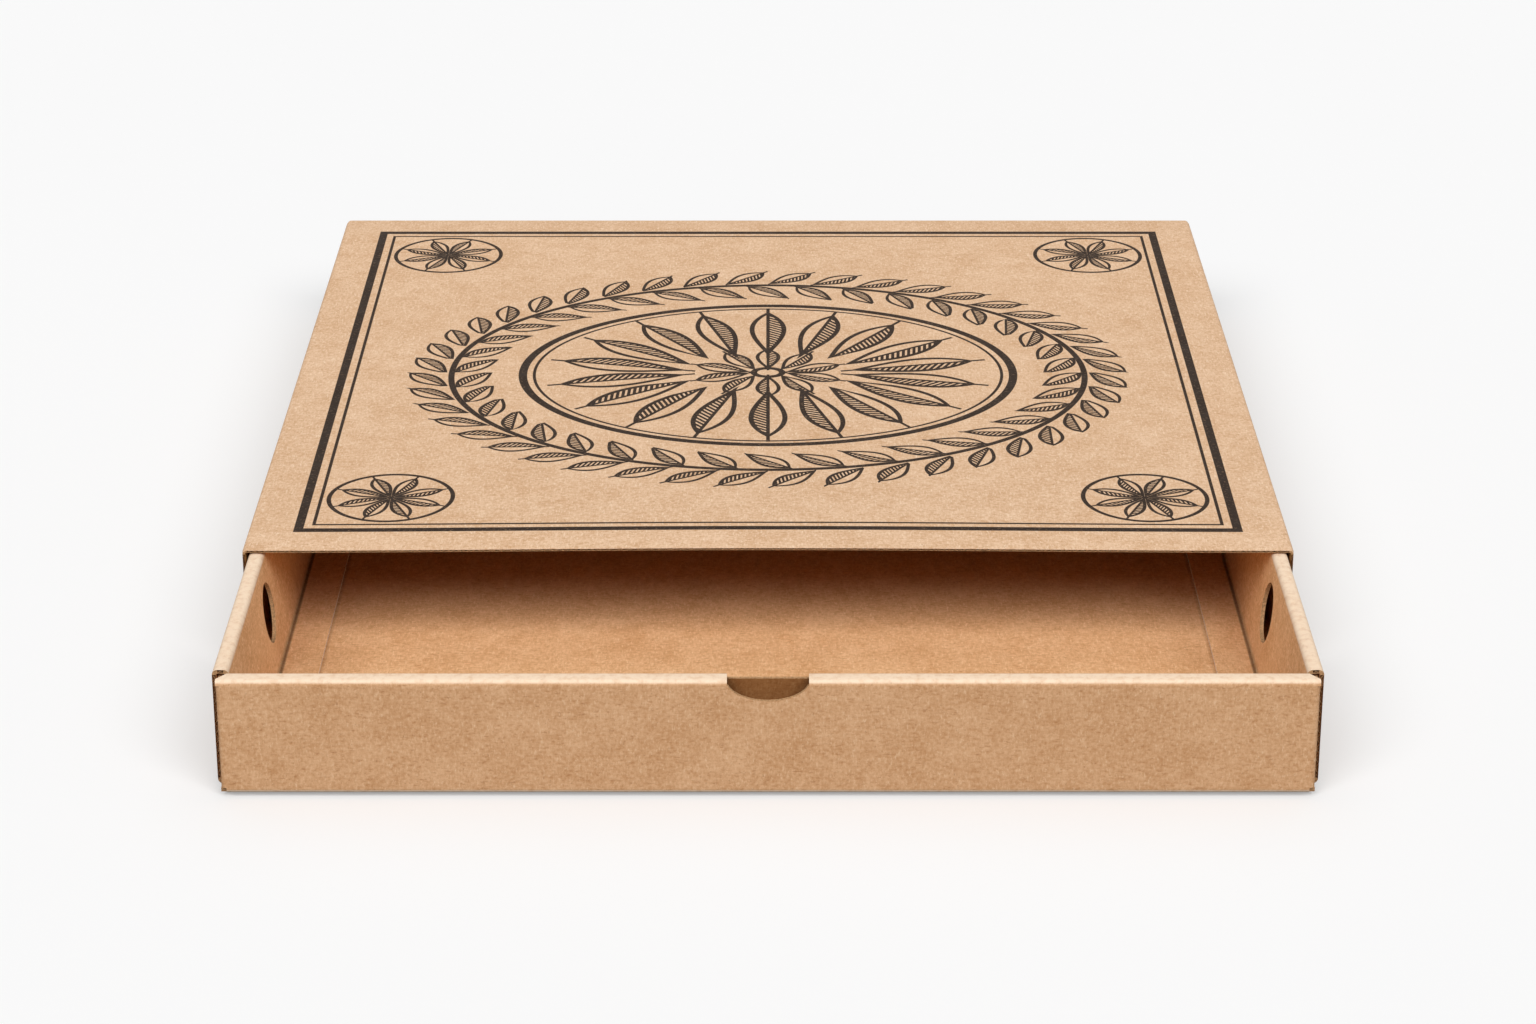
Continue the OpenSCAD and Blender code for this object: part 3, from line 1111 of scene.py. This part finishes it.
def dress_tray(obj, form):
    """Gives their own papers to the strips' edges, pale partly as a painted highlight; to the inner side
    walls, paler as painted light; and to the faces in the gap between the two layers of the front and back
    walls, dark as painted shade.
    """
    made, low, high, t = form.made, form.low, form.high, form.board.thickness
    inner_x = high.x - made.side_band
    hollow_y = (low.y + made.end_band / 2, high.y - made.end_band / 2)
    half_hollow = (made.end_band - 2 * t) / 2 + SAME_PLACE / 2

    # Pale strip edges, partly a painted highlight
    def is_strip_edge(face):
        low_down = middle(face).z < low.z + 3 * t and abs(middle(face).x) < inner_x - made.strip
        return face.material_index == CUT_EDGE and abs(face.normal.x) > FACING and low_down

    # Painted light: the rolled-in inner side walls show the outside liner but take the tray's paler inside
    # colour
    def is_lining(face):
        looks_in = face.normal.z > -0.5 and abs(middle(face).x) < inner_x
        return face.material_index == OUTSIDE and form.beside(face) and looks_in

    # Painted shade: faces inside the front and back walls take a dark paper
    def is_hollow(face):
        at = middle(face)
        in_wall = any(near(at.y, y, half_hollow) for y in hollow_y) and at.z > low.z + form.fold
        middle_part = abs(at.x) < form.end_half / 2
        return face.material_index == INSIDE and abs(face.normal.y) > FACING and in_wall and middle_part

    bpy.ops.object.mode_set(mode="EDIT")
    dress(obj, "Strip Edge", is_strip_edge)
    dress(obj, "Tray Lining Painted Light", is_lining)
    dress(obj, "Hollow Painted Shade", is_hollow)


class PIZZABOX_OT_tray(Operator):
    """Folds the tray from one sheet and cuts its notch and holes"""

    bl_idname = "pizzabox.tray"
    bl_label = "Build Tray"

    def execute(self, context):
        settings = context.scene.pizza_box
        board = settings.board
        form = TrayForm(board, settings.tray)
        obj = lay_floor(form)
        for sign in (-1, 1):
            fold_side_wall(obj, form, sign)
        for sign in (-1, 1):
            fold_end_wall(obj, form, sign)
        divide_ends(obj, board, lambda e: form.at_side_end(e) and span_y(e) < TINY and e.is_boundary)
        thicken(obj, board)
        cut_openings(obj, form)
        open_flutes(obj, board, form.at_side_end, board.thickness)
        dress_tray(obj, form)
        outward(obj)
        hand_over(obj, "tray", "tray")
        return {"FINISHED"}


def floor_material(stage):
    """Pale floor that keeps the box's shadow and throws little light back on the box."""
    material, n, shader = new_material("Floor Paint")
    at, _ = n.coordinates()
    grain = n.ramp(n.noise(at, 3.0), 0.3, 0.7, 0.995, 1.0)
    seen = n.seen()
    shown = n.mix(seen, tuple(stage.bounce), tuple(c * (1 - stage.glow) for c in stage.floor))
    n.fill(shader, {
        "Base Color": n.tint(shown, n.grey(grain)), "Roughness": 0.9, "Specular IOR Level": 0.0,
        "Emission Color": opaque(c * stage.glow for c in stage.floor), "Emission Strength": seen,
    })
    return material


def light_world(scene, stage):
    """Even light from all round, with a pale backdrop where it is seen."""
    world = scene.world or bpy.data.worlds.new("Studio")
    scene.world = world
    world.use_nodes = True
    tree = world.node_tree
    n = Nodes(tree)
    light = tree.nodes["Background"]
    n.fill(light, {"Color": (1.0, 1.0, 1.0, 1.0), "Strength": stage.sky})
    backdrop = tree.nodes.new("ShaderNodeBackground")
    n.fill(backdrop, {"Color": opaque(stage.backdrop)})
    blend = tree.nodes.new("ShaderNodeMixShader")
    n.fill(blend, {0: n.seen(), 1: light.outputs[0], 2: backdrop.outputs[0]})
    n.put(tree.nodes["World Output"].inputs["Surface"], blend.outputs[0])


def add_lamp(name, turn, height, energy, spread):
    """Adds a soft lamp at an angle over the floor, turned round the box from its front."""
    bpy.ops.object.light_add(
        type="SUN", location=(math.sin(turn), -math.cos(turn), 1.0), rotation=(QUARTER - height, 0, turn),
    )
    lamp = bpy.context.object
    lamp.name = name
    lamp.data.energy = energy
    lamp.data.angle = spread


def add_camera(stage):
    """Adds the camera in front of the tray, looking down on it."""
    front = CAD_BOUNDS[0][1]
    place = (0, front - stage.distance, stage.height)
    bpy.ops.object.camera_add(location=place, rotation=(QUARTER - stage.pitch, 0, 0))
    camera = bpy.context.object
    camera.name = "Photo Camera"
    camera.data.lens = stage.lens
    camera.data.sensor_width = SENSOR_WIDTH
    camera.data.clip_end = FAR_CLIP
    return camera


class PIZZABOX_OT_stage(Operator):
    """Sets up the floor, lamps, world and camera"""

    bl_idname = "pizzabox.stage"
    bl_label = "Build Stage"

    def execute(self, context):
        scene = context.scene
        stage = scene.pizza_box.stage
        bpy.ops.object.select_all(action="DESELECT")
        bpy.ops.mesh.primitive_plane_add(size=FLOOR_SIZE, location=(0, 0, 0))
        floor = context.object
        floor.name = "Floor"
        floor.data.materials.append(floor_material(stage))
        light_world(scene, stage)
        add_lamp("Soft_Key_Left", -stage.key_turn, stage.key_height, stage.key, stage.key_spread)
        add_lamp("Soft_Key_Right", stage.key_turn, stage.key_height, stage.key, stage.key_spread)
        add_lamp("Soft_Back", math.pi, stage.back_height, stage.back, stage.back_spread)
        scene.camera = add_camera(stage)
        scene.view_settings.view_transform = "Standard"
        return {"FINISHED"}


class PIZZABOX_PT_panel(Panel):
    """Sidebar panel of the model"""

    bl_label = "Pizza Box"
    bl_idname = "PIZZABOX_PT_panel"
    bl_space_type = "VIEW_3D"
    bl_region_type = "UI"
    bl_category = "Pizza Box"

    def draw(self, context):
        settings = context.scene.pizza_box
        for group in PizzaBoxSettings.__annotations__:
            part = getattr(settings, group)
            column = self.layout.column(align=True)
            for name in part.__annotations__:
                column.prop(part, name)
        for operator in OPERATORS:
            self.layout.operator(operator.bl_idname)


OPERATORS = (PIZZABOX_OT_finishes, PIZZABOX_OT_sleeve, PIZZABOX_OT_tray, PIZZABOX_OT_stage)
SETTINGS = (BoardSettings, SleeveSettings, TraySettings, PrintSettings, FinishSettings, StageSettings)
CLASSES = (*SETTINGS, PizzaBoxSettings, *OPERATORS, PIZZABOX_PT_panel)


def register():
    for item in CLASSES:
        bpy.utils.register_class(item)
    bpy.types.Scene.pizza_box = PointerProperty(type=PizzaBoxSettings)


def unregister():
    del bpy.types.Scene.pizza_box
    for item in reversed(CLASSES):
        bpy.utils.unregister_class(item)


def main():
    register()
    bpy.ops.pizzabox.finishes()
    bpy.ops.pizzabox.sleeve()
    bpy.ops.pizzabox.tray()
    bpy.ops.pizzabox.stage()


if __name__ == "__main__":
    main()
